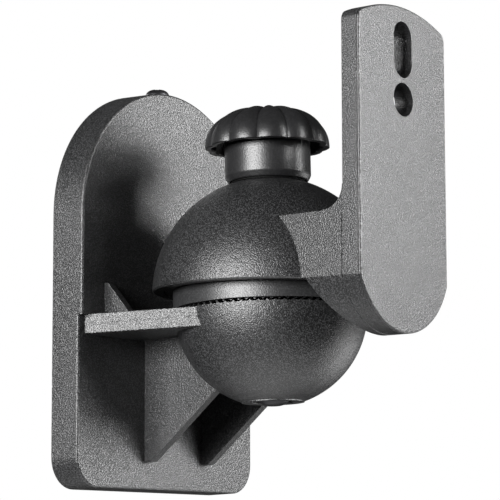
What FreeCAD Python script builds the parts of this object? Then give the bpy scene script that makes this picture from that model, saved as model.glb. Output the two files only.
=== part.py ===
import FreeCAD, Part
import math
import os

from FreeCAD import Vector

# Speaker wall bracket with a toothed swivel and a clamped ball joint.
# Millimetres. The wall is the plane Y = 0, the room is on its -Y side, and Z points up.
# Z = 0 is the level of the seam between the fixed cup and the turning ball.

# Base moulding: a tombstone-shaped shell that lies against the wall
base_width = 58.0
base_below = 36.7
base_above = 49.1
base_depth = 7.1
upper_step = 1.0
base_wall = 2.2
base_draft = 0.2
base_corner = 6.5
base_edge_round = 0.5
field_start = 0.8
field_border = 5.6
field_depth = 0.5

# Ball joint: place of its centre, and how far the moulded cup leans back to the wall
ball_reach = 34.8
ball_lean = 1.4
cup_radius = 20.0
cup_wall = 2.8
cup_flat_level = -19.1
cup_boss_radius = 6.5
cup_boss_top = -12.0
bolt_recess_radius = 4.3
bolt_recess_depth = 2.5

# Toothed seam between cup and swivel ball
tooth_count = 72
tooth_height = 0.3
tooth_land = 0.52
tip_gap = 0.12
tooth_length = 2.6
tooth_inset = 0.02

# Shelf and ribs of the base
shelf_top = -0.35
shelf_thickness = 4.1
shelf_wall_half = 26.8
shelf_ball_half = 19.0
shelf_ball_offset = 2.5
gusset_thickness = 2.1
gusset_left_x = -6.7
gusset_right_x = 12.3
gusset_foot_level = -30.6
gusset_foot_width = 1.9
gusset_slope = 39.2
rib_thickness = 2.0
rib_x = 20.3
rib_height = 6.3
rib_reach = 6.4
rib_tip = 0.4

# Swivel ball that turns on the cup
band_radius = 20.3
pivot_level = 3.3
ball_radius = 22.0
ball_wall = 2.9
ball_tube_radius = 5.5
ball_tube_end = -2.0
ball_step_level = 4.3

# Dome, arm and speaker plate: one moulding
dome_radius = 24.6
dome_wall = 2.4
dome_rim_level = 3.8
arm_top = 16.9
arm_fillet = 4.8
arm_throat_radius = 25.4
arm_throat_flare = 0.19
arm_throat_depth = 20.0
arm_edge_round = 0.4
plate_front = 68.4
plate_thickness = 4.4
plate_width = 30.7
plate_top = 59.4
plate_top_radius = 36.0
plate_top_corner = 2.0
plate_bottom = -6.9
plate_bottom_radius = 16.35
hole_radius = 3.45
hole_level = 40.3
slot_width = 6.3
slot_bottom = 44.75
slot_top = 56.35
tilt_up = 8.0
tilt_down = 10.0

# Clamp: bolt, washers, saddle, knob and its nut
bolt_radius = 2.5
bolt_bore_gap = 0.08
bolt_end = 38.0
bolt_slot_gap = 0.5
bolt_head_radius = 3.9
bolt_head_height = 2.4
bolt_head_crown = 1.9
washer_thickness = 0.8
washer_radius = 4.1
saddle_radius = 7.8
saddle_top = 29.0
saddle_gap = 0.12
thrust_washer_radius = 6.5
collar_radius = 9.0
collar_bottom = 27.0
collar_chamfer = 1.2
collar_chamfer_width = 0.65
collar_recess_gap = 0.3
collar_recess_head = 0.1
nut_across_flats = 8.0
nut_height = 4.0
nut_roof = 0.6
insert_gap = 0.02
knob_bore_top = 40.0
knob_rim_level = 34.3
knob_radius = 13.1
knob_rim_groove = 0.75
knob_crown = [(12.95, 35.9, 0.75), (12.5, 37.4, 0.75), (11.7, 38.8, 0.8), (10.2, 40.3, 0.85)]
knob_crown += [(8.6, 41.3, 0.9), (6.6, 42.1, 0.9), (4.45, 42.6, 0.7), (2.1, 42.85, 0.25)]
knob_hollow_rows = 3
knob_skirt = 1.3
knob_lobes = 12
knob_turned = 22.5
lobe_steps = 8
lobe_fullness = 0.75

# Spring that lifts the swivel ball off its teeth
spring_wire = 0.9
spring_radius = 4.3
spring_turns = 5
spring_gap = 0.3

# Plate that is screwed to the wall, and the screw that locks the base to it
wall_plate_thickness = 2.0
wall_plate_gap = 0.5
wall_hole_radius = 2.25
wall_hole_spread_x = 28.0
wall_hole_spread_z = 54.0
wall_hole_middle = 1.0
hook_x = 18.0
hook_width = 7.0
hook_level = -22.0
hook_lip = 1.0
hook_tab = 1.5
hook_gap = 0.2
hook_channel = 1.4
hook_height = 4.5
bar_thickness = 1.0
bar_height = 4.0
bar_rib_x = 8.0
lug_width = 10.0
lug_drop = 7.6
lug_thickness = 2.0
lug_depth = 3.7
lock_screw_y = 3.8
lock_screw_radius = 1.5
lock_screw_length = 9.5
thread_gap = 0.05
lock_head_radius = 2.6
lock_head_height = 1.6
lock_head_edge = 0.2
lock_seat_depth = 0.15
lock_seat_gap = 0.4
lock_hole_gap = 0.1
cross_width = 0.8
cross_length = 3.6
cross_depth = 1.1

# Worked out from the values above
ball_centre = Vector(0, -ball_reach, 0)
step_level = -ball_reach * math.sin(math.radians(ball_lean)) - 0.4
x_axis = Vector(1, 0, 0)
y_axis = Vector(0, 1, 0)
z_axis = Vector(0, 0, 1)
seam_half = tooth_height + tip_gap / 2
cup_rim = -seam_half
ball_rim = seam_half
upper_depth = base_depth + upper_step
bolt_bore = bolt_radius + bolt_bore_gap
lean_angle = math.radians(ball_lean)
pivot = Vector(0, -ball_reach + pivot_level * math.sin(lean_angle), pivot_level * math.cos(lean_angle))
plate_back = plate_front - plate_thickness
recess_ceiling = cup_flat_level + bolt_recess_depth
lug_level = base_above - lug_drop
big = 200.0


def lean(shape):
    """Turn a shape of the ball's own upright frame back to the wall, about the cup's centre."""
    leaned = shape.copy()
    leaned.translate(ball_centre)
    leaned.rotate(ball_centre, x_axis, -ball_lean)
    return leaned


def turned(points):
    """Solid of revolution about Z from a closed outline of (radius, height) points and arc middles."""
    edges = []
    count = len(points)
    for i, point in enumerate(points):
        start = Vector(point[0], 0, point[1])
        end = Vector(points[(i + 1) % count][0], 0, points[(i + 1) % count][1])
        if len(point) == 4:
            edges.append(Part.Arc(start, Vector(point[2], 0, point[3]), end).toShape())
        else:
            edges.append(Part.LineSegment(start, end).toShape())
    face = Part.Face(Part.Wire(edges))
    return face.revolve(Vector(0, 0, 0), z_axis, 360)


def cylinder(radius, low, high):
    return Part.makeCylinder(radius, high - low, Vector(0, 0, low), z_axis)


def box(x0, x1, y0, y1, z0, z1):
    return Part.makeBox(x1 - x0, y1 - y0, z1 - z0, Vector(x0, y0, z0))


def sphere_at(radius, centre):
    return Part.makeSphere(radius, centre)


def on_sphere(radius, centre_level, level):
    """Radius of the circle in which a sphere on the axis is cut at a level."""
    return math.sqrt(radius ** 2 - (level - centre_level) ** 2)


def sphere_level(radius, centre_level, r):
    """Level at which the upper half of a sphere on the axis has the radius r."""
    return centre_level + math.sqrt(radius ** 2 - r ** 2)


def prism_x(points, x0, x1):
    """Prism along X from (y, z) points."""
    wire = Part.makePolygon([Vector(x0, y, z) for y, z in points + points[:1]])
    return Part.Face(wire).extrude(Vector(x1 - x0, 0, 0))


def tombstone(width, below, above, corner, y):
    """Closed outline in the plane Y = y: half-round top, straight sides, rounded lower corners."""
    half = width / 2
    shoulder = above - half
    turn = corner * (1 - math.sqrt(0.5))
    a = Vector(-half, y, -below + corner)
    b = Vector(-half, y, shoulder)
    c = Vector(half, y, shoulder)
    d = Vector(half, y, -below + corner)
    e = Vector(half - corner, y, -below)
    f = Vector(-half + corner, y, -below)
    edges = [
        Part.LineSegment(a, b).toShape(),
        Part.Arc(b, Vector(0, y, above), c).toShape(),
        Part.LineSegment(c, d).toShape(),
        Part.Arc(d, Vector(half - turn, y, -below + turn), e).toShape(),
        Part.LineSegment(e, f).toShape(),
        Part.Arc(f, Vector(-half + turn, y, -below + turn), a).toShape(),
    ]
    return Part.Wire(edges)


def tombstone_block(inset, y0, y1, draft):
    """Solid between two tombstone outlines; the outline at y1 is narrower by the draft all round."""
    width = base_width - 2 * inset
    corner = max(base_corner - inset, 0.5)
    back = tombstone(width, base_below - inset, base_above - inset, corner, y0)
    front = tombstone(width - 2 * draft, base_below - inset - draft, base_above - inset - draft, corner, y1)
    return Part.makeLoft([back, front], True, True)


def tooth_ring(root, height, offset, radius_in, radius_out):
    """Ring of radial teeth. Every flank plane passes through the axis, so two such rings seat in each other."""
    pitch = 2 * math.pi / tooth_count
    land = pitch * tooth_land / 2
    reach = 1.05 * radius_out
    tip = height * reach / radius_out
    foot = -0.2 if height > 0 else 0.2
    apex = Vector(0, 0, root)
    top = []
    low = []
    for i in range(tooth_count):
        middle = pitch * (i + offset)
        for turn, rise in ((-pitch / 2 + land, 0), (0, tip), (pitch / 2 - land, 0)):
            x = reach * math.cos(middle + turn)
            y = reach * math.sin(middle + turn)
            top.append(Vector(x, y, root + rise))
            low.append(Vector(x, y, root + foot))
    faces = [Part.Face(Part.makePolygon(low + low[:1]))]
    for i, corner in enumerate(top):
        j = (i + 1) % len(top)
        faces.append(Part.Face(Part.makePolygon([apex, corner, top[j], apex])))
        faces.append(Part.Face(Part.makePolygon([corner, top[j], low[j], low[i], corner])))
    fan = Part.Solid(Part.Shell(faces))
    return fan.common(cylinder(radius_out, root - 1, root + 1).cut(cylinder(radius_in, root - 2, root + 2)))


def rounded_block(depth):
    """Solid base block with a softly rounded front edge."""
    block = tombstone_block(0, 0, -depth, base_draft)
    front = [e for e in block.Edges if max(abs(v.Y + depth) for v in e.Vertexes) < 0.01]
    return block.makeFillet(base_edge_round, front)


def field_room():
    """Room in front of the upper part's flat field, which lies a little deeper inside a sloping border."""
    wires = []
    bottom = -upper_depth + field_depth
    for inset, y in ((field_start, -upper_depth - 1), (field_start, -upper_depth), (field_border, bottom)):
        corner = max(base_corner - inset, 0.5)
        wires.append(tombstone(base_width - 2 * inset, base_below - inset, base_above - inset, corner, y))
    return Part.makeLoft(wires, True, True)


def make_base_shell():
    block = rounded_block(base_depth)
    upper_half = box(-big, big, -big, big, step_level, big)
    block = block.fuse(rounded_block(upper_depth).cut(field_room()).common(upper_half))
    # Shelf from the plate to the sides of the cup, in the ball's own frame
    wall_y = ball_reach - base_depth + base_wall
    near_ball = shelf_ball_offset
    slope = (shelf_wall_half - shelf_ball_half) / (ball_reach - base_depth - near_ball)
    half_at_wall = shelf_wall_half + slope * base_wall
    outline = [(-half_at_wall, wall_y), (-shelf_ball_half, near_ball), (-shelf_ball_half + 3, near_ball - 4)]
    outline += [(-x, y) for x, y in reversed(outline)]
    points = [Vector(x, y, shelf_top - shelf_thickness) for x, y in outline]
    shelf = Part.Face(Part.makePolygon(points + points[:1])).extrude(Vector(0, 0, shelf_thickness))
    cup = sphere_at(cup_radius, Vector(0, 0, 0))
    cup = cup.common(cylinder(big, cup_flat_level, cup_rim))
    shelf = shelf.cut(cylinder(cup_radius, cup_rim, big))
    shell = block.fuse([lean(shelf), lean(cup)])
    # Gussets below the shelf and ribs above it
    under = shelf_top - shelf_thickness / 2
    foot_y = -base_depth - gusset_foot_width
    run = 22.0
    rise = run * math.tan(math.radians(gusset_slope))
    inside = -base_depth + base_wall
    profile = [(inside, under), (inside, gusset_foot_level), (foot_y, gusset_foot_level)]
    profile += [(foot_y - run, gusset_foot_level + rise), (foot_y - run, under)]
    for x in (gusset_left_x, gusset_right_x):
        shell = shell.fuse(prism_x(profile, x - gusset_thickness / 2, x + gusset_thickness / 2))
    rib_foot = shelf_top - shelf_thickness / 2
    rib_front = -upper_depth - rib_reach
    rib_inside = -upper_depth + base_wall
    rib = [(rib_inside, rib_foot), (rib_inside, rib_height - 0.35), (-upper_depth - rib_tip, rib_height - 0.35)]
    rib += [(rib_front, shelf_top - 0.5), (rib_front, rib_foot)]
    for x in (-rib_x, rib_x):
        shell = shell.fuse(prism_x(rib, x - rib_thickness / 2, x + rib_thickness / 2))
    # Hollow back, cup and boss
    cavity = tombstone_block(base_wall, 1, -base_depth + base_wall, 0)
    upper = tombstone_block(base_wall, 1, -upper_depth + base_wall, 0)
    upper = upper.common(box(-big, big, -big, big, shelf_top + base_wall, big))
    bowl = sphere_at(cup_radius - cup_wall, Vector(0, 0, 0))
    shell = shell.cut([cavity, upper, lean(bowl)])
    boss = cylinder(cup_boss_radius, cup_flat_level, cup_boss_top)
    shell = shell.fuse(lean(boss))
    recess = cylinder(bolt_recess_radius, cup_flat_level - 1, recess_ceiling)
    bore = cylinder(bolt_bore, cup_flat_level, cup_boss_top + 1)
    shell = shell.cut([lean(recess), lean(bore)])
    # Bar behind the front that drops into the hooks of the wall plate
    bar_low = hook_level + hook_tab + hook_gap
    bar_front = -wall_plate_thickness - hook_gap - bar_thickness
    bar = box(-base_width / 2 + 1, base_width / 2 - 1, bar_front, bar_front + bar_thickness, bar_low, bar_low + bar_height)
    shell = shell.fuse(bar)
    for x in (-bar_rib_x, bar_rib_x):
        web = box(x - 0.75, x + 0.75, inside - 0.5, bar_front + 0.1, bar_low, bar_low + bar_height)
        shell = shell.fuse(web)
    # Seat and hole of the lock screw
    seat_place = Vector(0, -lock_screw_y, base_above - lock_seat_depth)
    seat = Part.makeCylinder(lock_head_radius + lock_seat_gap, lock_head_height, seat_place, z_axis)
    hole_place = Vector(0, -lock_screw_y, base_above - 3 * base_wall)
    hole = Part.makeCylinder(lock_screw_radius + lock_hole_gap, 4 * base_wall, hole_place, z_axis)
    shell = shell.cut([seat, hole])
    outer = cup_radius - tooth_inset
    teeth = tooth_ring(cup_rim, tooth_height, 0, outer - tooth_length, outer)
    return shell.fuse(lean(teeth)).removeSplitter()


def make_wall_plate():
    inset = base_wall + wall_plate_gap
    plate = tombstone_block(inset, 0, -wall_plate_thickness, 0)
    back = -wall_plate_thickness
    for x in (-hook_x, hook_x):
        tab = box(x - hook_width / 2, x + hook_width / 2, back - hook_channel - hook_lip, back, hook_level, hook_level + hook_tab)
        lip_y = back - hook_channel
        lip = box(x - hook_width / 2, x + hook_width / 2, lip_y - hook_lip, lip_y, hook_level, hook_level + hook_height)
        plate = plate.fuse([tab, lip])
    lug = box(-lug_width / 2, lug_width / 2, back - lug_depth, back, lug_level, lug_level + lug_thickness)
    plate = plate.fuse(lug)
    holes = []
    for x in (-wall_hole_spread_x / 2, wall_hole_spread_x / 2):
        for z in (-wall_hole_spread_z / 2, wall_hole_spread_z / 2):
            place = Vector(x, -wall_plate_thickness - 1, wall_hole_middle + z)
            holes.append(Part.makeCylinder(wall_hole_radius, wall_plate_thickness + 2, place, y_axis))
    thread_place = Vector(0, -lock_screw_y, lug_level - lug_thickness)
    thread = Part.makeCylinder(lock_screw_radius + thread_gap, 3 * lug_thickness, thread_place, z_axis)
    return plate.cut(holes + [thread]).removeSplitter()


def make_lock_screw():
    seat = base_above - lock_seat_depth
    edge = seat + lock_head_edge
    top = seat + lock_head_height
    bulge = 0.8 * lock_head_radius
    screw = turned([
        (0, seat - lock_screw_length),
        (lock_screw_radius, seat - lock_screw_length),
        (lock_screw_radius, seat),
        (lock_head_radius, seat),
        (lock_head_radius, edge, bulge, top - 0.45),
        (0.4 * lock_head_radius, top),
        (0, top),
    ])
    half = cross_width / 2
    reach = cross_length / 2
    low = top - cross_depth
    cross = box(-reach, reach, -half, half, low, top + 1).fuse(box(-half, half, -reach, reach, low, top + 1))
    screw = screw.cut(cross)
    screw.translate(Vector(0, -lock_screw_y, 0))
    return screw


def make_clamp_bolt():
    seat = recess_ceiling - washer_thickness
    low = seat - bolt_head_height
    edge = low + bolt_head_crown
    bolt = turned([
        (0, low),
        (0.3 * bolt_head_radius, low, 0.74 * bolt_head_radius, low + 0.32 * bolt_head_crown),
        (bolt_head_radius, edge),
        (bolt_head_radius, seat),
        (bolt_radius, seat),
        (bolt_radius, bolt_end - 0.5),
        (bolt_radius - 0.5, bolt_end),
        (0, bolt_end),
    ])
    return lean(bolt)


def make_bolt_washer():
    high = recess_ceiling
    low = high - washer_thickness
    return lean(cylinder(washer_radius, low, high).cut(cylinder(bolt_bore, low - 1, high + 1)))


def make_release_spring():
    low = cup_boss_top + spring_wire / 2
    high = ball_tube_end - spring_gap - spring_wire / 2
    pitch = (high - low) / spring_turns
    helix = Part.Wire(Part.makeHelix(pitch, high - low, spring_radius))
    section = Part.Wire(Part.Circle(Vector(spring_radius, 0, 0), y_axis, spring_wire / 2).toShape())
    coil = helix.makePipeShell([section], True, True)
    coil.translate(Vector(0, 0, low))
    return lean(coil)


def make_swivel_ball():
    outer = band_radius - tooth_inset
    tooth_in = outer - tooth_length
    inner = ball_radius - ball_wall
    skirt = min(tooth_in - 0.3, inner - 0.5)
    bend = sphere_level(inner, pivot_level, skirt)
    tube_top = sphere_level(inner, pivot_level, ball_tube_radius)
    crown = sphere_level(ball_radius, pivot_level, bolt_bore)
    mid_in = inner * math.sqrt(0.5)
    mid_out = ball_radius * math.sqrt(0.5)
    ball = turned([
        (skirt, ball_rim),
        (band_radius, ball_rim),
        (band_radius, ball_step_level),
        (on_sphere(ball_radius, pivot_level, ball_step_level), ball_step_level, mid_out, pivot_level + mid_out),
        (bolt_bore, crown),
        (bolt_bore, ball_tube_end),
        (ball_tube_radius, ball_tube_end),
        (ball_tube_radius, tube_top, 0.55 * inner, sphere_level(inner, pivot_level, 0.55 * inner)),
        (skirt, bend),
    ])
    teeth = tooth_ring(ball_rim, -tooth_height, 0.5, tooth_in, outer)
    return lean(ball.fuse(teeth).removeSplitter())


def plate_outline(y):
    """Outline of the speaker plate: bowed top with small corners, straight sides, round foot."""
    half = plate_width / 2
    top_centre = plate_top - plate_top_radius
    bottom_centre = plate_bottom + plate_bottom_radius
    foot = bottom_centre - math.sqrt(plate_bottom_radius ** 2 - half ** 2)
    inner = plate_top_radius - plate_top_corner
    corner_x = half - plate_top_corner
    corner_z = top_centre + math.sqrt(inner ** 2 - corner_x ** 2)
    lean_out = math.atan2(corner_x, corner_z - top_centre)
    touch = Vector(plate_top_radius * math.sin(lean_out), y, top_centre + plate_top_radius * math.cos(lean_out))
    middle = (lean_out + math.pi / 2) / 2
    bulge = Vector(corner_x + plate_top_corner * math.sin(middle), y, corner_z + plate_top_corner * math.cos(middle))
    side = Vector(half, y, corner_z)

    def mirror(v):
        return Vector(-v.x, v.y, v.z)

    low = Vector(half, y, foot)
    edges = [
        Part.Arc(mirror(touch), Vector(0, y, plate_top), touch).toShape(),
        Part.Arc(touch, bulge, side).toShape(),
        Part.LineSegment(side, low).toShape(),
        Part.Arc(low, Vector(0, y, plate_bottom), mirror(low)).toShape(),
        Part.LineSegment(mirror(low), mirror(side)).toShape(),
        Part.Arc(mirror(side), mirror(bulge), mirror(touch)).toShape(),
    ]
    return Part.Face(Part.Wire(edges))


def make_dome_arm():
    half = plate_width / 2
    plate = plate_outline(-plate_front).extrude(Vector(0, plate_thickness, 0))
    front_edges = [e for e in plate.Edges if max(abs(v.Y + plate_front) for v in e.Vertexes) < 0.01]
    plate = plate.makeFillet(arm_edge_round, front_edges)
    # Arm: the lower part of the plate's outline, carried back to the ball
    reach = plate_back - ball_reach
    arm = plate_outline(-plate_back).extrude(Vector(0, reach, 0))
    arm = arm.common(box(-big, big, -big, big, -big, arm_top))
    fillet_y = -plate_back + arm_fillet
    block = box(-half, half, -plate_back, fillet_y, arm_top - 0.1, arm_top + arm_fillet)
    hollow = Part.makeCylinder(arm_fillet, 4 * half, Vector(-2 * half, fillet_y, arm_top + arm_fillet), x_axis)
    dome = sphere_at(dome_radius, pivot).common(box(-big, big, -big, big, dome_rim_level, big))
    solid = plate.fuse([arm, block.cut(hollow), dome])
    # Room for the ball inside, for the cup below the rim, and for the bolt in the crown
    wide = arm_throat_radius + arm_throat_flare * arm_throat_depth
    below = Vector(0, pivot.y, dome_rim_level - arm_throat_depth)
    throat = Part.makeCone(wide, arm_throat_radius, arm_throat_depth, below, z_axis)
    solid = solid.cut([sphere_at(dome_radius - dome_wall, pivot), throat])
    round_y = bolt_radius + bolt_slot_gap
    front = dome_radius * math.sin(math.radians(tilt_up - ball_lean)) + round_y
    rear = dome_radius * math.sin(math.radians(tilt_down + ball_lean)) + round_y
    slot = box(-round_y, round_y, pivot.y - front + round_y, pivot.y + rear - round_y, pivot.z + 10, big)
    ends = []
    for y in (pivot.y - front + round_y, pivot.y + rear - round_y):
        ends.append(Part.makeCylinder(round_y, big, Vector(0, y, pivot.z + 10), z_axis))
    solid = solid.cut([slot] + ends)
    # Hole and slot for the speaker's screw
    start = -plate_front - 1
    length = plate_thickness + 2
    hole = Part.makeCylinder(hole_radius, length, Vector(0, start, hole_level), y_axis)
    slot_half = slot_width / 2
    low = slot_bottom + slot_half
    high = slot_top - slot_half
    cuts = [hole, box(-slot_half, slot_half, start, start + length, low, high)]
    for z in (low, high):
        cuts.append(Part.makeCylinder(slot_half, length, Vector(0, start, z), y_axis))
    return solid.cut(cuts).removeSplitter()


def make_pressure_saddle():
    seat = dome_radius + saddle_gap
    edge = sphere_level(seat, pivot_level, saddle_radius)
    crown = sphere_level(seat, pivot_level, bolt_bore)
    middle = (saddle_radius + bolt_bore) / 2
    saddle = turned([
        (bolt_bore, crown, middle, sphere_level(seat, pivot_level, middle)),
        (saddle_radius, edge),
        (saddle_radius, saddle_top),
        (bolt_bore, saddle_top),
    ])
    return lean(saddle)


def make_thrust_washer():
    low = saddle_top
    high = saddle_top + washer_thickness
    return lean(cylinder(thrust_washer_radius, low, high).cut(cylinder(bolt_bore, low - 1, high + 1)))


def hexagon(across, low, high):
    radius = across / 2 / math.cos(math.pi / 6)
    points = [Vector(radius * math.cos(math.pi / 3 * i), radius * math.sin(math.pi / 3 * i), low) for i in range(6)]
    return Part.Face(Part.makePolygon(points + points[:1])).extrude(Vector(0, 0, high - low))


def lobe_wire(radius, groove, level):
    """Ring of lobes at a level, with a sharp groove between each two."""
    points = []
    for i in range(knob_lobes * lobe_steps):
        swell = math.sin(math.pi * (i % lobe_steps) / lobe_steps) ** lobe_fullness
        r = radius - groove * (1 - swell)
        a = math.radians(knob_turned) + 2 * math.pi * i / (knob_lobes * lobe_steps)
        points.append(Vector(r * math.cos(a), r * math.sin(a), level))
    return Part.makePolygon(points + points[:1])


def lobed_cap(outline, shrink):
    """Cap with lobes up to its crown, from an outline of (radius, level, depth of the grooves)."""
    wires = [lobe_wire(radius - shrink, groove, level) for radius, level, groove in outline]
    return Part.makeLoft(wires, True, True)


def make_knob():
    recess_r = saddle_radius + collar_recess_gap
    recess_top = saddle_top + washer_thickness + collar_recess_head
    cap = lobed_cap([(knob_radius, knob_rim_level, knob_rim_groove)] + knob_crown, 0)
    hollow = [(knob_radius, knob_rim_level - 0.5, knob_rim_groove)] + knob_crown[:knob_hollow_rows]
    hollow_top = hollow[-1]
    cap = cap.cut(lobed_cap(hollow, knob_skirt))
    collar = turned([
        (0, collar_bottom),
        (collar_radius - collar_chamfer_width, collar_bottom),
        (collar_radius, collar_bottom + collar_chamfer),
        (collar_radius, hollow_top[1] + 0.1),
        (0, hollow_top[1] + 0.1),
    ])
    knob = cap.fuse(collar)
    nut_low = recess_top + nut_roof
    cuts = [
        cylinder(recess_r, collar_bottom - 1, recess_top),
        hexagon(nut_across_flats + 2 * insert_gap, nut_low - insert_gap, nut_low + nut_height + insert_gap),
        cylinder(bolt_radius + 0.3, recess_top - 1, knob_bore_top),
    ]
    return lean(knob.cut(cuts).removeSplitter())


def make_knob_nut():
    low = saddle_top + washer_thickness + collar_recess_head + nut_roof
    nut = hexagon(nut_across_flats, low, low + nut_height)
    return lean(nut.cut(cylinder(bolt_bore, low - 1, low + nut_height + 1)))


parts = {
    "base_shell": make_base_shell,
    "wall_plate": make_wall_plate,
    "lock_screw": make_lock_screw,
    "clamp_bolt": make_clamp_bolt,
    "bolt_washer": make_bolt_washer,
    "release_spring": make_release_spring,
    "swivel_ball": make_swivel_ball,
    "dome_arm": make_dome_arm,
    "pressure_saddle": make_pressure_saddle,
    "thrust_washer": make_thrust_washer,
    "knob": make_knob,
    "knob_nut": make_knob_nut,
}

os.makedirs("parts", exist_ok=True)
for name, make in parts.items():
    shape = make()
    print(name, shape.ShapeType, len(shape.Solids), shape.isValid(), round(shape.Volume, 1))
    shape.exportStep("parts/" + name + ".step")
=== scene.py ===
"""Looks of a speaker wall bracket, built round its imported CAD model.

Lengths in the mesh code are millimetres and become metres when a mesh is made.
The wall is the plane Y = 0, the room is on its -Y side, and Z points up.
The ball's own pieces are made upright about Z and then leaned into their place.
"""

import math

import bmesh
import bpy
from bpy.props import FloatProperty, FloatVectorProperty, IntProperty, PointerProperty
from bpy.types import Operator, Panel, PropertyGroup
from mathutils import Matrix, Vector


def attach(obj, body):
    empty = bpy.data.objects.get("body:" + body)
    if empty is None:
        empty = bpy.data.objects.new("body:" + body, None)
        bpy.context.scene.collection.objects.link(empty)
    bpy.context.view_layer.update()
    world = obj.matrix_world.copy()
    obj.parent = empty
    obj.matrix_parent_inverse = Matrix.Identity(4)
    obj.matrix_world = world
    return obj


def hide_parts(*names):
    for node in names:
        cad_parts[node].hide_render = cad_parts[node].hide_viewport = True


bl_info = {
    "name": "Speaker wall bracket",
    "version": (1, 0, 0),
    "blender": (4, 5, 0),
    "location": "3D View > Sidebar > Bracket",
    "description": "Builds the moulded pieces, finishes and stage of a speaker wall bracket",
    "category": "Add Mesh",
}

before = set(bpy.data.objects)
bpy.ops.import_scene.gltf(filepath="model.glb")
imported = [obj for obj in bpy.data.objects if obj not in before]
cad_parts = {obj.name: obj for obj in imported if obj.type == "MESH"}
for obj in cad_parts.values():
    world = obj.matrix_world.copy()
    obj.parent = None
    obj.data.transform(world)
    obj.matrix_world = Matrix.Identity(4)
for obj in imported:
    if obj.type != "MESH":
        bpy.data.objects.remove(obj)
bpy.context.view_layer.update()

MM = 0.001
FAR = 200.0  # beyond every solid
PAST = 1.0  # by how much a cutting solid passes the face it cuts
SAME_PLACE = 1e-7  # metres between points that become one
ON_AXIS = 1e-6

# Base moulding
BASE_WIDTH = 58.0
BASE_BELOW = 36.7
BASE_ABOVE = 49.1
BASE_DEPTH = 7.1
UPPER_DEPTH = 8.1
BASE_WALL = 2.2
BASE_DRAFT = 0.2
BASE_CORNER = 6.5
LEAST_CORNER = 0.5
BASE_EDGE = 0.5
BACK_CHAMFER = 0.12
STEP_LEVEL = -1.25
FIELD_START = 0.8
FIELD_BORDER = 5.6
FIELD_DEPTH = 0.5
INSIDE_Y = -BASE_DEPTH + BASE_WALL
UPPER_INSIDE_Y = -UPPER_DEPTH + BASE_WALL

# Ball joint
BALL_REACH = 34.8
BALL_LEAN = 1.4
CUP_RADIUS = 20.0
BOWL_RADIUS = 17.2
CUP_FLAT = -19.1
CUP_FLAT_RADIUS = 6.5
CUP_EDGE = 0.2
BOSS_TOP = -12.0
RECESS_RADIUS = 4.3
RECESS_CEILING = -16.6
BOLT_BORE = 2.58
SEAM_HALF = 0.36
TOOTH_HEIGHT = 0.3
TOOTH_LENGTH = 2.6
TOOTH_LAND = 0.52  # share of the ring between the teeth
TOOTH_TIP = 0.06  # width of a tip as a share of the foot
TOOTH_FOOT = 0.2
CUP_TEETH_INSET = 0.02
BALL_TEETH_INSET = 1.1
BAND_RADIUS = 20.3
BAND_EDGE = 0.1
PIVOT_LEVEL = 3.3
BALL_RADIUS = 22.0
BALL_INNER = 19.1
BALL_BORE = 17.38
BALL_STEP = 4.3
TUBE_RADIUS = 5.5
TUBE_END = -2.0

# Shelf, ribs and gussets
SHELF_TOP = -0.35
SHELF_THICK = 4.1
SHELF_MIDDLE = SHELF_TOP - SHELF_THICK / 2
SHELF_WALL_HALF = 26.8
SHELF_BALL_HALF = 19.0
SHELF_BALL_OFFSET = 2.5
SHELF_END_IN = 3.0
SHELF_END_OUT = 4.0
SHELF_EDGE = 0.22
SHELF_IN_CUP = 0.6  # how far shelf and cup overlap where they join
SHELF_SEAM_DEPTH = 0.06
SHELF_SEAM_HALF = 0.07
SHELF_SEAM_EDGE = 0.2
RIM_ROOM_TOP = 10.0
GUSSET_THICK = 2.1
GUSSET_X = (-6.7, 12.3)
GUSSET_FOOT = -30.6
GUSSET_FOOT_WIDTH = 1.9
GUSSET_RUN = 22.0
GUSSET_SLOPE = 39.2
GUSSET_EDGE = 0.2
CUP_IN_BASE = 0.5  # how far cup and base overlap where they join
RIB_X = 20.3
RIB_THICK = 2.0
RIB_TOP = 5.95
RIB_REACH = 6.4
RIB_TIP = 0.4
RIB_SUNK = 0.5
RIB_EDGE = 0.18

# Dome, arm and speaker plate
DOME_RADIUS = 24.6
DOME_INNER = 22.2
DOME_RIM = 3.8
DOME_RIM_EDGE = 0.35
DOME_RIM_TURN = 0.6  # degrees
ARM_TOP = 16.9
ARM_EDGE = 0.3
ARM_FILLET = 4.8
ARM_FILLET_INSET = 0.02
ARM_SUNK = 0.5
THROAT_RADIUS = 25.4
THROAT_FLARE = 0.19
THROAT_DEPTH = 20.0
PLATE_FRONT = 68.4
PLATE_THICK = 4.4
PLATE_EDGE = 0.4
PLATE_WIDTH = 30.7
PLATE_TOP = 59.4
PLATE_TOP_RADIUS = 36.0
PLATE_CORNER = 2.0
PLATE_BOTTOM = -6.9
PLATE_BOTTOM_RADIUS = 16.35
# Inset and depth behind the front: fine parting line, side and small chamfer
PLATE_SIDE = (
    (0, 0.42), (0.08, 0.48), (0.08, 0.54), (0, 0.6),
    (0, PLATE_THICK - 0.2), (0.2, PLATE_THICK),
)
# Inset and distance behind the plate: fine parting line where the arm starts
ARM_START = ((0.12, -0.3), (0.12, 0.1), (0, 0.22))
PLATE_CUT = 10.0
HOLE_RADIUS = 3.45
HOLE_LEVEL = 40.3
SLOT_HALF = 3.15
SLOT_LOW = 44.75
SLOT_HIGH = 56.35
BOLT_SLOT_HALF = 3.0
BOLT_SLOT_FRONT = 5.83
BOLT_SLOT_REAR = 7.86
BOLT_SLOT_LEVELS = (10, 40)

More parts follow.
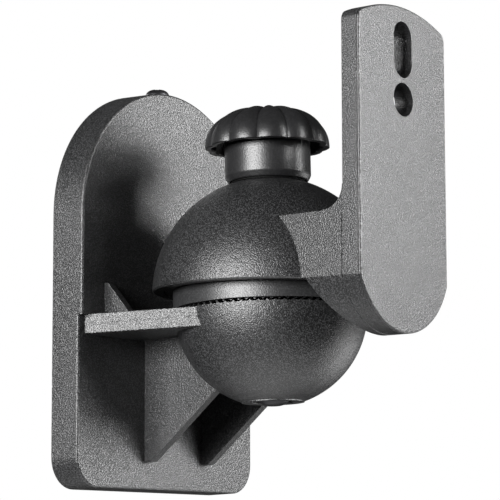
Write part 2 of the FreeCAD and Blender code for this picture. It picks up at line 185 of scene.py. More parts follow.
# Saddle and knob
SADDLE_RADIUS = 7.8
SADDLE_TOP = 29.0
SADDLE_SEAT = 24.72
COLLAR_RADIUS = 9.0
COLLAR_LOW = 27.0
COLLAR_CHAMFER = (0.65, 1.2)
COLLAR_EDGE = 0.3
COLLAR_TOP = 39.2
COLLAR_RECESS = 8.1
COLLAR_CEILING = 29.9
RIM_LEVEL = 34.3
RIM_DROP = 0.12
RIM_ROUND = (0.15, 0.2)
KNOB_RADIUS = 13.1
KNOB_HEIGHT = 8.6
KNOB_FLANK = 2.4  # exponents of the cap's outline, across and up
KNOB_SHOULDER = 2.2
KNOB_SKIRT = 1.3
KNOB_CEILING = 38.8
KNOB_CROWN = 87  # degrees of the outline from the rim to the crown
KNOB_GROOVE = 0.8
KNOB_GROOVE_SHARPNESS = 0.75
KNOB_GROOVE_FADE = 4.5
KNOB_GROOVE_FADING = 1.3
KNOB_FIRST_GROOVE = 27.5
KNOB_WELD = 0.004
KNOB_BORE = 2.8
KNOB_BORE_TOP = 40.0

# Lock screw
LOCK_Y = 3.8
LOCK_SEAT = 48.95
LOCK_SEAT_GAP = 0.4
LOCK_SEAT_ROOM = 5.0
LOCK_HEAD_RADIUS = 2.6
LOCK_HEAD_EDGE = 0.2
LOCK_HEAD_CHAMFER = 0.12
LOCK_HEAD_FLAT = 1.0
LOCK_HEAD_STEPS = 8
LOCK_HEAD_HEIGHT = 1.6
LOCK_SHANK = 1.5
LOCK_SHANK_GAP = 0.1
LOCK_TIP = 0.4
LOCK_LENGTH = 9.5
LOCK_HOLE = (-6, 2)  # ends of the hole from the seat
CROSS_LENGTH = 3.6
CROSS_WIDTH = 0.9
CROSS_DEPTH = 1.1
CROSS_EDGE = 0.12
CROSS_TURN = 37

# Finishes: shares are of the whole, tints and glosses are the most that a pattern changes
COARSE_SCALE = 0.4
COARSE_SHARE = 0.15
# The bright grain spots that these stops pick out are painted glints in the colour; in the roughness
# they are real
GLINT_SPECK_STOPS = ((0.49, 0.0), (0.6, 1.0))
GLINT_SPECK_MEAN = 0.42
GLINT_SPECK_GLOSS = 0.03
CLOUD_SCALE = 60.0
CLOUD_TINT = 0.25
CLOUD_GLOSS = 0.1
MARK_SCALE = 900.0
MARK_TINT = 0.4
MARK_GLOSS = 0.2
MARK_HEIGHT = 0.00003  # metres

# Stage: angles in degrees, places and lamp sizes in metres, power in watts
PHOTO_WIDTH = 500  # pixels
FOCAL_LENGTH = 2363.2  # pixels
SENSOR = 36.0  # millimetres
CAMERA_PLACE = (-0.3874, -0.3300, -0.0550)
CAMERA_AZIMUTH = -52.18
CAMERA_ELEVATION = -7.917
CAMERA_ROLL = 0.129
LAMP_AIM = Vector((0.0, -0.035, 0.01))
LAMPS = (  # name, azimuth, elevation, distance, size and power
    ("left softbox", -90, 7, 0.9, (0.64, 0.3), 22.0),
    ("front softbox", 27, 11, 0.9, (0.52, 0.3), 16.0),
    ("upper front softbox", 18, 24, 0.9, (0.44, 0.28), 11.0),
    ("right fill", 72, -24, 0.9, (0.5, 0.5), 3.0),
    ("back fill", 178, 8, 1.0, (0.4, 0.4), 9.0),
)
SURROUNDINGS = 0.037
FLOOR_HALF = 600  # millimetres, as FLOOR_LEVEL
FLOOR_LEVEL = -800

PIVOT = Vector((
    0,
    -BALL_REACH + PIVOT_LEVEL * math.sin(math.radians(BALL_LEAN)),
    PIVOT_LEVEL * math.cos(math.radians(BALL_LEAN)),
))


def length(name, description, default, low, high):
    return FloatProperty(
        name=name, description=description, default=default, min=low, max=high,
        subtype="DISTANCE", unit="LENGTH",
    )


def colour(name, description, default):
    return FloatVectorProperty(
        name=name, description=description, default=default, min=0.0, max=1.0, subtype="COLOR",
    )


class BRACKET_PG_sizes(PropertyGroup):
    tooth_count: IntProperty(
        name="Teeth", description="Teeth round the seam of the swivel", default=72, min=12, max=180,
    )
    lobe_count: IntProperty(
        name="Lobes", description="Lobes round the knob", default=12, min=5, max=24,
    )
    grain: length("Grain", "Size of one grain of the spark-eroded surface", 0.00026, 0.0001, 0.002)
    grain_height: length("Grain height", "Height of the grains", 0.00013, 0.0, 0.0005)


class BRACKET_PG_colours(PropertyGroup):
    moulding: colour("Mouldings", "Colour of the graphite plastic", (0.022, 0.0222, 0.0228))
    knob: colour("Knob", "Colour of the knob's glossier plastic", (0.012, 0.012, 0.0125))
    # The saddle's near-black colour is partly its dark plastic and partly painted shade for the gap
    # under the collar
    saddle: colour("Saddle", "Colour of the saddle's matt plastic", (0.005, 0.005, 0.005))
    screw: colour("Screws", "Colour of the blackened screws", (0.03, 0.03, 0.032))
    steel: colour("Steel", "Colour of the zinc-plated inner parts", (0.55, 0.56, 0.58))


class Value:
    """A socket that takes part in Python expressions and adds the Math nodes they need."""

    def __init__(self, tree, socket):
        self.tree = tree
        self.socket = socket

    def maths(self, operation, *terms, clamp=False):
        node = self.tree.nodes.new("ShaderNodeMath")
        node.operation = operation
        node.use_clamp = clamp
        for slot, term in zip(node.inputs, terms):
            if isinstance(term, Value):
                self.tree.links.new(term.socket, slot)
            else:
                slot.default_value = term
        return Value(self.tree, node.outputs[0])

    def __add__(self, other):
        return self.maths("ADD", self, other)

    def __radd__(self, other):
        return self.maths("ADD", other, self)

    def __sub__(self, other):
        return self.maths("SUBTRACT", self, other)

    def __rsub__(self, other):
        return self.maths("SUBTRACT", other, self)

    def __mul__(self, other):
        return self.maths("MULTIPLY", self, other)

    def __rmul__(self, other):
        return self.maths("MULTIPLY", other, self)

    def __truediv__(self, other):
        return self.maths("DIVIDE", self, other)

    def __rtruediv__(self, other):
        return self.maths("DIVIDE", other, self)

    def held(self):
        """The same value, kept between 0 and 1."""
        return self.maths("ADD", self, 0.0, clamp=True)


class Finish:
    """A material under construction."""

    def __init__(self, name):
        self.material = bpy.data.materials.new(name)
        self.material.use_nodes = True
        self.tree = self.material.node_tree
        self.tree.nodes.clear()

    def node(self, kind, settings=None, inputs=None, output=0):
        """Adds a node: its settings first, then the values or links of its sockets."""
        node = self.tree.nodes.new(kind)
        for name, value in (settings or {}).items():
            if name == "stops":
                ramp = node.color_ramp
                for i, (place, shade) in enumerate(value):
                    stop = ramp.elements[i] if i < 2 else ramp.elements.new(place)
                    stop.position = place
                    stop.color = (shade, shade, shade, 1.0)
            else:
                setattr(node, name, value)
        for name, value in (inputs or {}).items():
            if isinstance(value, Value):
                self.tree.links.new(value.socket, node.inputs[name])
            else:
                node.inputs[name].default_value = value
        return Value(self.tree, node.outputs[output])

    def noise(self, scale, detail):
        place = self.node("ShaderNodeTexCoord", output="Object")
        inputs = {"Vector": place, "Scale": scale, "Detail": detail}
        return self.node("ShaderNodeTexNoise", None, inputs)

    def bump(self, field, strength, distance):
        inputs = {"Strength": strength, "Distance": distance, "Height": field}
        return self.node("ShaderNodeBump", None, inputs)

    def shade(self, base, factor):
        """The colour made lighter or darker by a factor that varies over the surface."""
        inputs = {0: base[:3], "Scale": factor}
        return self.node("ShaderNodeVectorMath", {"operation": "SCALE"}, inputs)

    def close(self, **inputs):
        """Ends the material with one Principled shader."""
        inputs = {name.replace("_", " "): value for name, value in inputs.items()}
        shader = self.node("ShaderNodeBsdfPrincipled", None, inputs)
        output = self.tree.nodes.new("ShaderNodeOutputMaterial")
        self.tree.links.new(shader.socket, output.inputs["Surface"])
        return self.material


def grained_plastic(name, base, grain, height, gloss, glint_speck, shine=0.5):
    """Moulded plastic from a spark-eroded tool: fine grains over an uneven sheen, with the grains'
    bright spots painted into the colour as glints.
    """
    finish = Finish(name)
    fine = finish.noise(1 / grain, 1.0)
    coarse = finish.noise(COARSE_SCALE / grain, 1.0)
    cloud = finish.noise(CLOUD_SCALE, 3.0)
    field = fine * (1 - COARSE_SHARE) + coarse * COARSE_SHARE
    glint_specks = finish.node("ShaderNodeValToRGB", {"stops": GLINT_SPECK_STOPS}, {"Fac": field})
    # Colour: the bright grain spots are painted glints, the cloud a random tone
    level = 1.0 + (glint_specks - GLINT_SPECK_MEAN) * glint_speck + (cloud - 0.5) * CLOUD_TINT
    return finish.close(
        Base_Color=finish.shade(base, level),
        Roughness=gloss + (cloud - 0.5) * CLOUD_GLOSS + (0.5 - glint_specks) * glint_speck * GLINT_SPECK_GLOSS,
        Specular_IOR_Level=shine,
        Normal=finish.bump(field, 1.0, height),
    )


def coated_steel(name, base, rough):
    """Steel with a thin coating and faint handling marks."""
    finish = Finish(name)
    marks = finish.noise(MARK_SCALE, 3.0)
    return finish.close(
        Base_Color=finish.shade(base, 1.0 + (marks - 0.5) * MARK_TINT),
        Metallic=0.85,
        Roughness=rough + (marks - 0.5) * MARK_GLOSS,
        Normal=finish.bump(marks, 0.4, MARK_HEIGHT),
    )


def finishes():
    """The object's materials, made once."""
    made = bpy.data.materials
    if "graphite plastic" not in made:
        sizes = bpy.context.scene.bracket_sizes
        tints = bpy.context.scene.bracket_colours
        grain, height = sizes.grain, sizes.grain_height
        # The number after the gloss sets how strongly glints of the grains are painted into the
        # colour
        grained_plastic("graphite plastic", tints.moulding, grain, height, 0.33, 1.6)
        grained_plastic("ball plastic", tints.moulding, grain, height * 0.45, 0.37, 0.7)
        grained_plastic("knob plastic", tints.knob, grain * 1.3, height * 0.3, 0.37, 0.5)
        # Near black and almost without reflection: the saddle's ring under the collar shows as
        # painted shade
        grained_plastic("saddle plastic in painted shade", tints.saddle, grain, height * 0.3, 0.6, 0.5, 0.05)
        coated_steel("blackened screw", tints.screw, 0.42)
        coated_steel("zinc-plated steel", tints.steel, 0.35)
    return made


def new_object(name, data):
    obj = bpy.data.objects.new(name, data)
    bpy.context.scene.collection.objects.link(obj)
    return obj


def use_up(obj):
    """Removes an object that has gone into another, with its mesh."""
    mesh = obj.data
    bpy.data.objects.remove(obj)
    bpy.data.meshes.remove(mesh)


def mesh_of(name, points, faces):
    """Object from points in millimetres, with its normals turned outwards."""
    mesh = bpy.data.meshes.new(name)
    mesh.from_pydata([Vector(p) * MM for p in points], [], faces)
    work = bmesh.new()
    work.from_mesh(mesh)
    bmesh.ops.remove_doubles(work, verts=work.verts, dist=SAME_PLACE)
    bmesh.ops.recalc_face_normals(work, faces=work.faces)
    work.to_mesh(mesh)
    work.free()
    return new_object(name, mesh)


def at_distance(distance, radius):
    """Angle in degrees at which a circle passes at a distance from the axis."""
    return math.degrees(math.acos(distance / radius))


def at_height(height, radius):
    """Angle in degrees at which a circle passes at a height over its centre."""
    return math.degrees(math.asin(height / radius))


def arc(centre_r, centre_z, radius, start, end, steps):
    """Points of an arc in a section, from one angle in degrees to another."""
    points = []
    for i in range(steps + 1):
        a = math.radians(start + (end - start) * i / steps)
        points.append((centre_r + radius * math.cos(a), centre_z + radius * math.sin(a)))
    return points


def slot_outline(low, high, half, steps):
    """Outline of a slot with round ends, upright in its plane."""
    return arc(0, high - half, half, 0, 180, steps) + arc(0, low + half, half, 180, 360, steps)


def softened(outline, radius, steps=3):
    """The outline of (a, b) points, with the corners that have a third value rounded."""
    points = []
    count = len(outline)
    for i, corner in enumerate(outline):
        here = Vector(corner[:2])
        if len(corner) < 3:
            points.append(tuple(here))
            continue
        before = Vector(outline[i - 1][:2]) - here
        after = Vector(outline[(i + 1) % count][:2]) - here
        reach = min(radius, before.length * 0.45, after.length * 0.45)
        a = here + before.normalized() * reach
        b = here + after.normalized() * reach
        for k in range(steps + 1):
            t = k / steps
            points.append(tuple(a * (1 - t) ** 2 + here * 2 * t * (1 - t) + b * t ** 2))
    return points


def turned(name, outline, steps=144, closed=True):
    """Turned solid about Z from its (radius, height) section. Points on the axis become poles."""
    points = []
    rings = []
    for r, z in outline:
        if r < ON_AXIS:
            rings.append([len(points)] * steps)
            points.append((0, 0, z))
            continue
        rings.append(list(range(len(points), len(points) + steps)))
        for i in range(steps):
            a = 2 * math.pi * i / steps
            points.append((r * math.cos(a), r * math.sin(a), z))
    faces = []
    last = len(rings) if closed else len(rings) - 1
    for k in range(last):
        low = rings[k]
        high = rings[(k + 1) % len(rings)]
        for i in range(steps):
            j = (i + 1) % steps
            face = list(dict.fromkeys((low[i], low[j], high[j], high[i])))
            if len(face) > 2:
                faces.append(face)
    return mesh_of(name, points, faces)


def stacked(name, rings):
    """Closed solid through rings of equally many points, shut by a face at each end."""
    points = [p for ring in rings for p in ring]
    count = len(rings[0])
    faces = [list(range(count)), list(range(len(points) - count, len(points)))]
    for k in range(len(rings) - 1):
        for i in range(count):
            j = (i + 1) % count
            a = k * count
            faces.append((a + i, a + j, a + count + j, a + count + i))
    return mesh_of(name, points, faces)


def prism_x(name, outline, low, high):
    return stacked(name, [[(x, y, z) for y, z in outline] for x in (low, high)])


def prism_y(name, outline, low, high):
    return stacked(name, [[(x, y, z) for x, z in outline] for y in (low, high)])


def prism_z(name, outline, low, high):
    return stacked(name, [[(x, y, z) for x, y in outline] for z in (low, high)])


def block(name, x0, x1, y0, y1, z0, z1):
    return prism_z(name, [(x0, y0), (x1, y0), (x1, y1), (x0, y1)], z0, z1)


def slab(name, low, high):
    """Everything between two levels."""
    return block(name, -FAR, FAR, -FAR, FAR, low, high)


def peg(name, radius, low, high, steps=96):
    return turned(name, [(0, low), (radius, low), (radius, high), (0, high)], steps, closed=False)


def sphere(name, radius, rows, steps):
    return turned(name, arc(0, 0, radius, -90, 90, rows), steps, closed=False)


def along_y(obj, x, y, z):
    """Lays a solid made about Z along Y and moves it."""
    turn = Matrix.Rotation(math.radians(90), 4, "X")
    obj.data.transform(Matrix.Translation(Vector((x, y, z)) * MM) @ turn)
    return obj


def moved(obj, x, y, z):
    obj.data.transform(Matrix.Translation(Vector((x, y, z)) * MM))
    return obj


def lean(obj):
    """Puts a solid of the ball's own upright frame in its place, leaned back to the wall."""
    obj.data.transform(
        Matrix.Translation(Vector((0, -BALL_REACH, 0)) * MM)
        @ Matrix.Rotation(math.radians(-BALL_LEAN), 4, "X")
    )
    return obj


def settle(obj):
    """Turns the object's modifiers into plain mesh."""
    bpy.context.view_layer.update()
    graph = bpy.context.evaluated_depsgraph_get()
    mesh = bpy.data.meshes.new_from_object(obj.evaluated_get(graph))
    old = obj.data
    obj.modifiers.clear()
    obj.data = mesh
    bpy.data.meshes.remove(old)
    return obj


def edged(obj, width, angle=40.0, steps=2):
    """Small rounds along the sharp edges."""
    bevel = obj.modifiers.new("edge rounds", "BEVEL")
    bevel.width = width * MM
    bevel.segments = steps
    bevel.limit_method = "ANGLE"
    bevel.angle_limit = math.radians(angle)
    return settle(obj)


def combine(obj, operation, *tools):
    """Joins the tools to the solid or cuts them out of it, and uses them up."""
    for tool in tools:
        change = obj.modifiers.new(operation.lower(), "BOOLEAN")
        change.operation = operation
        change.solver = "EXACT"
        change.object = tool
        settle(obj)
        use_up(tool)
    return obj


def complete(obj, name, material, slot, body, *nodes, angle=35.0):
    """Shading, finish and frame of a ready piece."""
    obj.name = name
    obj.data.name = name
    obj.data.materials.clear()
    obj.data.materials.append(finishes()[material])
    obj.data.polygons.foreach_set("use_smooth", [True] * len(obj.data.polygons))
    obj.data.polygons.foreach_set("material_index", [0] * len(obj.data.polygons))
    obj.data.set_sharp_from_angle(angle=math.radians(angle))
    weighted = obj.modifiers.new("even shading", "WEIGHTED_NORMAL")
    weighted.keep_sharp = True
    settle(obj)
    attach(obj, body)
    if nodes:
        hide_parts(*nodes)
    return obj


def ring_tree():
    """Node tree that sets copies of a piece evenly round Z and welds where they meet."""
    name = "pieces in a ring"
    if name in bpy.data.node_groups:
        return bpy.data.node_groups[name]
    tree = bpy.data.node_groups.new(name, "GeometryNodeTree")
    tree.is_modifier = True
    face = tree.interface
    face.new_socket("Geometry", in_out="OUTPUT", socket_type="NodeSocketGeometry")
    for label, kind in (
        ("Piece", "NodeSocketObject"),
        ("Count", "NodeSocketInt"),
        ("First Angle", "NodeSocketFloat"),
        ("Weld", "NodeSocketFloat"),
        ("Material", "NodeSocketMaterial"),
    ):
        face.new_socket(label, in_out="INPUT", socket_type=kind)
    given_sockets = tree.nodes.new("NodeGroupInput").outputs

    def given(label):
        return Value(tree, given_sockets[label])

    def add(kind, output=0, **inputs):
        node = tree.nodes.new(kind)
        for label, value in inputs.items():
            tree.links.new(value.socket, node.inputs[label])
        return Value(tree, node.outputs[output])

    points = add("GeometryNodePoints", Count=given("Count"))
    share = add("GeometryNodeInputIndex") / given("Count")
    turn = add("ShaderNodeCombineXYZ", Z=share * (2 * math.pi) + given("First Angle"))
    piece = add("GeometryNodeObjectInfo", "Geometry", Object=given("Piece"))
    ring = add("GeometryNodeInstanceOnPoints", Points=points, Instance=piece, Rotation=turn)
    real = add("GeometryNodeRealizeInstances", Geometry=ring)
    weld = add("GeometryNodeMergeByDistance", Geometry=real, Distance=given("Weld"))
    finish = add("GeometryNodeSetMaterial", Geometry=weld, Material=given("Material"))
    tree.links.new(finish.socket, tree.nodes.new("NodeGroupOutput").inputs[0])
    return tree


def ring_of(name, piece, count, first_angle, weld, material):
    """Plain mesh of a piece repeated round Z. The piece itself is used up."""
    obj = new_object(name, bpy.data.meshes.new(name))
    tree = ring_tree()
    repeat = obj.modifiers.new("ring", "NODES")
    repeat.node_group = tree
    values = {
        "Piece": piece,
        "Count": count,
        "First Angle": first_angle,
        "Weld": weld * MM,
        "Material": finishes()[material],
    }
    for item in tree.interface.items_tree:
        if item.in_out == "INPUT":
            repeat[item.identifier] = values[item.name]
    settle(obj)
    use_up(piece)
    return obj


def tooth(outer, root, height, count):
    """One face tooth whose flanks meet at the axis, sunk a little into what carries it."""
    half = math.pi / count * (1 - TOOTH_LAND)
    tip_half = TOOTH_TIP * half
    foot = -TOOTH_FOOT if height > 0 else TOOTH_FOOT
    rings = []
    for r in (outer - TOOTH_LENGTH, outer):
        tip = height * r / outer
        left = ((-half, foot), (-half, 0), (-tip_half, tip))
        sides = left + tuple((-turn, rise) for turn, rise in reversed(left))
        rings.append([(r * math.cos(turn), r * math.sin(turn), root + rise) for turn, rise in sides])
    return stacked("tooth", rings)


def add_teeth(name, material, body, outer, root, height, first_step):
    """A ring of face teeth, its first tooth turned by a share of a step."""
    count = bpy.context.scene.bracket_sizes.tooth_count
    piece = tooth(outer, root, height, count)
    first_angle = 2 * math.pi / count * first_step
    teeth = lean(ring_of("teeth", piece, count, first_angle, 0.0, material))
    complete(teeth, name, material, "graphite_plastic", body)


def tombstone(inset, y):
    """Ring of points: half-round top, straight sides, rounded lower corners."""
    half = BASE_WIDTH / 2 - inset
    shoulder = BASE_ABOVE - BASE_WIDTH / 2
    corner = max(BASE_CORNER - inset, LEAST_CORNER)
    low = -BASE_BELOW + inset
    outline = arc(0, shoulder, half, 0, 180, 96)
    outline += arc(-half + corner, low + corner, corner, 180, 270, 12)
    outline += arc(half - corner, low + corner, corner, 270, 360, 12)
    return [(x, y, z) for x, z in outline]


def quarter_round(radius, steps=4):
    """Steps round an edge: how far each point stands from one face and from the other."""
    for k in range(steps + 1):
        a = math.radians(90 * k / steps)
        yield radius * (1 - math.cos(a)), radius * (1 - math.sin(a))


def rounded_block(name, depth):
    rings = [tombstone(BACK_CHAMFER, 0), tombstone(0, -BACK_CHAMFER)]
    for inset, back in quarter_round(BASE_EDGE):
        rings.append(tombstone(BASE_DRAFT + inset, -depth + back))
    return stacked(name, rings)


def base_block():
    """The plate, deeper above the step, with a field sunk into its upper front."""
    base = rounded_block("base", BASE_DEPTH)
    upper = rounded_block("upper", UPPER_DEPTH)
    field = [tombstone(FIELD_START, y) for y in (-UPPER_DEPTH - PAST, -UPPER_DEPTH)]
    field.append(tombstone(FIELD_BORDER, -UPPER_DEPTH + FIELD_DEPTH))
    combine(upper, "DIFFERENCE", stacked("room over the field", field))
    combine(upper, "INTERSECT", slab("above the step", STEP_LEVEL, FAR))
    return combine(base, "UNION", upper)


def shelf():
    """Shelf with a fine parting line round its side, cut where the cup takes over."""
    wall_y = BALL_REACH + INSIDE_Y
    run = BALL_REACH - BASE_DEPTH - SHELF_BALL_OFFSET
    slope = (SHELF_WALL_HALF - SHELF_BALL_HALF) / run
    half = SHELF_WALL_HALF + slope * BASE_WALL
    left = [
        (-half, wall_y),
        (-SHELF_BALL_HALF, SHELF_BALL_OFFSET),
        (-SHELF_BALL_HALF + SHELF_END_IN, SHELF_BALL_OFFSET - SHELF_END_OUT),
    ]
    outline = left + [(-x, y) for x, y in reversed(left)]
    levels = (
        (0, SHELF_TOP - SHELF_THICK),
        (0, SHELF_MIDDLE - SHELF_SEAM_EDGE),
        (SHELF_SEAM_DEPTH, SHELF_MIDDLE - SHELF_SEAM_HALF),
        (SHELF_SEAM_DEPTH, SHELF_MIDDLE + SHELF_SEAM_HALF),
        (0, SHELF_MIDDLE + SHELF_SEAM_EDGE),
        (0, SHELF_TOP),
    )
    rings = [[(x - math.copysign(inset, x), y, z) for x, y in outline] for inset, z in levels]
    board = edged(stacked("shelf", rings), SHELF_EDGE, 60.0)
    combine(board, "DIFFERENCE", sphere("ring room", CUP_RADIUS - SHELF_IN_CUP, 48, 96))
    combine(board, "DIFFERENCE", peg("rim room", CUP_RADIUS, -SEAM_HALF, RIM_ROOM_TOP, 144))
    return lean(board)


def add_webs(base):
    """Gussets below the shelf, ribs above it."""
    foot_y = -BASE_DEPTH - GUSSET_FOOT_WIDTH
    rise = GUSSET_RUN * math.tan(math.radians(GUSSET_SLOPE))
    gusset = [
        (INSIDE_Y, SHELF_MIDDLE),
        (INSIDE_Y, GUSSET_FOOT),
        (foot_y, GUSSET_FOOT),
        (foot_y - GUSSET_RUN, GUSSET_FOOT + rise),
        (foot_y - GUSSET_RUN, SHELF_MIDDLE),
    ]
    front_y = -UPPER_DEPTH - RIB_REACH
    rib = [
        (UPPER_INSIDE_Y, SHELF_MIDDLE),
        (UPPER_INSIDE_Y, RIB_TOP),
        (-UPPER_DEPTH - RIB_TIP, RIB_TOP),
        (front_y, SHELF_TOP - RIB_SUNK),
        (front_y, SHELF_MIDDLE),
    ]
    webs = [("gusset", gusset, x, GUSSET_THICK, GUSSET_EDGE) for x in GUSSET_X]
    webs += [("rib", rib, x, RIB_THICK, RIB_EDGE) for x in (-RIB_X, RIB_X)]
    for name, profile, x, thick, edge in webs:
        web = prism_x(name, profile, x - thick / 2, x + thick / 2)
        combine(base, "UNION", edged(web, edge, 30.0))


def hollow_back(base):
    lower = stacked("hollow", [tombstone(BASE_WALL, y) for y in (PAST, INSIDE_Y)])
    upper = stacked("upper hollow", [tombstone(BASE_WALL, y) for y in (PAST, UPPER_INSIDE_Y)])
    combine(upper, "INTERSECT", slab("above", SHELF_TOP + BASE_WALL, FAR))
    combine(base, "DIFFERENCE", lower, upper)


def cup():
    """Cup with its bowl, boss and bolt recess."""
    start = at_height(-SEAM_HALF, CUP_RADIUS)
    flat = -at_distance(CUP_FLAT_RADIUS, CUP_RADIUS)
    section = arc(0, 0, CUP_RADIUS, start, flat, 40)
    section += softened([
        (CUP_FLAT_RADIUS, CUP_FLAT),
        (RECESS_RADIUS, CUP_FLAT, "round"),
        (RECESS_RADIUS, RECESS_CEILING),
        (BOLT_BORE, RECESS_CEILING),
        (BOLT_BORE, BOSS_TOP),
        (CUP_FLAT_RADIUS, BOSS_TOP),
    ], CUP_EDGE)
    bowl_start = at_height(-SEAM_HALF, BOWL_RADIUS)
    bowl_end = -at_distance(CUP_FLAT_RADIUS, BOWL_RADIUS)
    section += reversed(arc(0, 0, BOWL_RADIUS, bowl_start, bowl_end, 30))
    return lean(turned("cup", section, 192))


class BRACKET_OT_base(Operator):
    """Base moulding: hollow plate, shelf, ribs, gussets and cup, with the cup's ring of teeth"""

    bl_idname = "bracket.base"
    bl_label = "Base moulding"

    def execute(self, context):
        base = base_block()
        combine(base, "UNION", shelf())
        add_webs(base)
        hollow_back(base)
        room = lean(sphere("bowl room", CUP_RADIUS - CUP_IN_BASE, 48, 96))
        combine(base, "DIFFERENCE", room)
        combine(base, "UNION", cup())
        seat = (LOCK_HEAD_RADIUS + LOCK_SEAT_GAP, LOCK_SEAT, LOCK_SEAT + LOCK_SEAT_ROOM)
        hole = (LOCK_SHANK + LOCK_SHANK_GAP, LOCK_SEAT + LOCK_HOLE[0], LOCK_SEAT + LOCK_HOLE[1])
        for name, size in (("screw seat", seat), ("screw hole", hole)):
            combine(base, "DIFFERENCE", moved(peg(name, *size), 0, -LOCK_Y, 0))
        complete(base, "base_moulding", "graphite plastic", "graphite_plastic", "base", "base_shell")
        outer = CUP_RADIUS - CUP_TEETH_INSET
        add_teeth("cup_teeth", "graphite plastic", "base", outer, -SEAM_HALF, TOOTH_HEIGHT, 0.0)
        return {"FINISHED"}


class BRACKET_OT_wall_parts(Operator):
    """Finish of the wall plate and of the steel parts inside"""

    bl_idname = "bracket.wall_parts"
    bl_label = "Wall plate and inner parts"

    def execute(self, context):
        plain = {
            "wall_plate": "graphite plastic",
            "clamp_bolt": "blackened screw",
            "bolt_washer": "zinc-plated steel",
            "release_spring": "zinc-plated steel",
            "thrust_washer": "zinc-plated steel",
            "knob_nut": "zinc-plated steel",
        }
        for node, material in plain.items():
            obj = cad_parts[node]
            obj.data.materials.clear()
            obj.data.materials.append(finishes()[material])
        return {"FINISHED"}


class BRACKET_OT_lock_screw(Operator):
    """Pan-head screw with a cross recess that locks the base to the wall plate"""

    bl_idname = "bracket.lock_screw"
    bl_label = "Lock screw"

    def execute(self, context):
        top = LOCK_SEAT + LOCK_HEAD_HEIGHT
        edge = LOCK_SEAT + LOCK_HEAD_EDGE
        tip = LOCK_SEAT - LOCK_LENGTH
        section = [
            (0, tip),
            (LOCK_SHANK - LOCK_TIP, tip),
            (LOCK_SHANK, tip + LOCK_TIP),
            (LOCK_SHANK, LOCK_SEAT),
            (LOCK_HEAD_RADIUS - LOCK_HEAD_CHAMFER, LOCK_SEAT),
            (LOCK_HEAD_RADIUS, LOCK_SEAT + LOCK_HEAD_CHAMFER),
        ]
        for k in range(LOCK_HEAD_STEPS + 1):
            a = math.radians(90 * k / LOCK_HEAD_STEPS)
            reach = LOCK_HEAD_RADIUS - (LOCK_HEAD_RADIUS - LOCK_HEAD_FLAT) * (1 - math.cos(a))
            section.append((reach, edge + (top - edge) * math.sin(a)))
        section.append((0, top))
        screw = moved(turned("screw", section, 64, closed=False), 0, -LOCK_Y, 0)
        half_length, half_width = CROSS_LENGTH / 2, CROSS_WIDTH / 2
        for turn in (0, 90):
            levels = (top - CROSS_DEPTH, top + PAST)
            bar = block("cross", -half_length, half_length, -half_width, half_width, *levels)
            edged(bar, CROSS_EDGE)
            bar.data.transform(Matrix.Rotation(math.radians(turn + CROSS_TURN), 4, "Z"))
            combine(screw, "DIFFERENCE", moved(bar, 0, -LOCK_Y, 0))
        complete(screw, "lock_screw_turned", "blackened screw", "dark_screw", "base", "lock_screw")
        return {"FINISHED"}


class BRACKET_OT_swivel_ball(Operator):
    """Swivel ball with its toothed band"""

    bl_idname = "bracket.swivel_ball"
    bl_label = "Swivel ball"

    def execute(self, context):
        start = at_height(BALL_STEP - PIVOT_LEVEL, BALL_RADIUS)
        crown = at_distance(BOLT_BORE, BALL_RADIUS)
        section = softened([
            (BALL_BORE, SEAM_HALF),
            (BAND_RADIUS, SEAM_HALF, "round"),
            (BAND_RADIUS, BALL_STEP),
        ], BAND_EDGE)
        section += arc(0, PIVOT_LEVEL, BALL_RADIUS, start, crown, 40)
        section += [(BOLT_BORE, TUBE_END), (TUBE_RADIUS, TUBE_END)]
        inner_tube = at_distance(TUBE_RADIUS, BALL_INNER)
        inner_bend = at_distance(BALL_BORE, BALL_INNER)
        section += arc(0, PIVOT_LEVEL, BALL_INNER, inner_tube, inner_bend, 24)
        ball = lean(turned("ball", section, 192))
        complete(
            ball, "swivel_ball_turned", "ball plastic", "graphite_plastic",
            "swivel_ball", "swivel_ball",
        )
        outer = BAND_RADIUS - BALL_TEETH_INSET
        add_teeth("ball_teeth", "ball plastic", "swivel_ball", outer, SEAM_HALF, -TOOTH_HEIGHT, 0.5)
        return {"FINISHED"}


def plate_outline(inset):
    """Outline of the speaker plate as (x, z): round foot, straight sides, bowed top."""
    half = PLATE_WIDTH / 2
    foot_centre = PLATE_BOTTOM + PLATE_BOTTOM_RADIUS
    foot_angle = at_distance(half, PLATE_BOTTOM_RADIUS)
    foot_shift = inset / math.cos(math.radians(foot_angle))
    right = arc(0, foot_centre, PLATE_BOTTOM_RADIUS - inset, -90, -foot_angle, 48)
    foot_z = right.pop()[1]
    right.append((half - inset, foot_z - foot_shift + inset))
    top_centre = PLATE_TOP - PLATE_TOP_RADIUS
    corner_x = half - PLATE_CORNER
    corner_z = top_centre + math.sqrt((PLATE_TOP_RADIUS - PLATE_CORNER) ** 2 - corner_x ** 2)
    tilt = math.degrees(math.atan2(corner_x, corner_z - top_centre))
    right += arc(corner_x, corner_z, PLATE_CORNER - inset, 0, 90 - tilt, 10)
    right += arc(0, top_centre, PLATE_TOP_RADIUS - inset, 90 - tilt, 90, 24)[1:]
    left = [(-x, z) for x, z in reversed(right[1:-1])]
    return right + left


def plate_rings(places):
    """Rings of the plate's outline at each inset and Y."""
    return [[(x, y, z) for x, z in plate_outline(inset)] for inset, y in places]


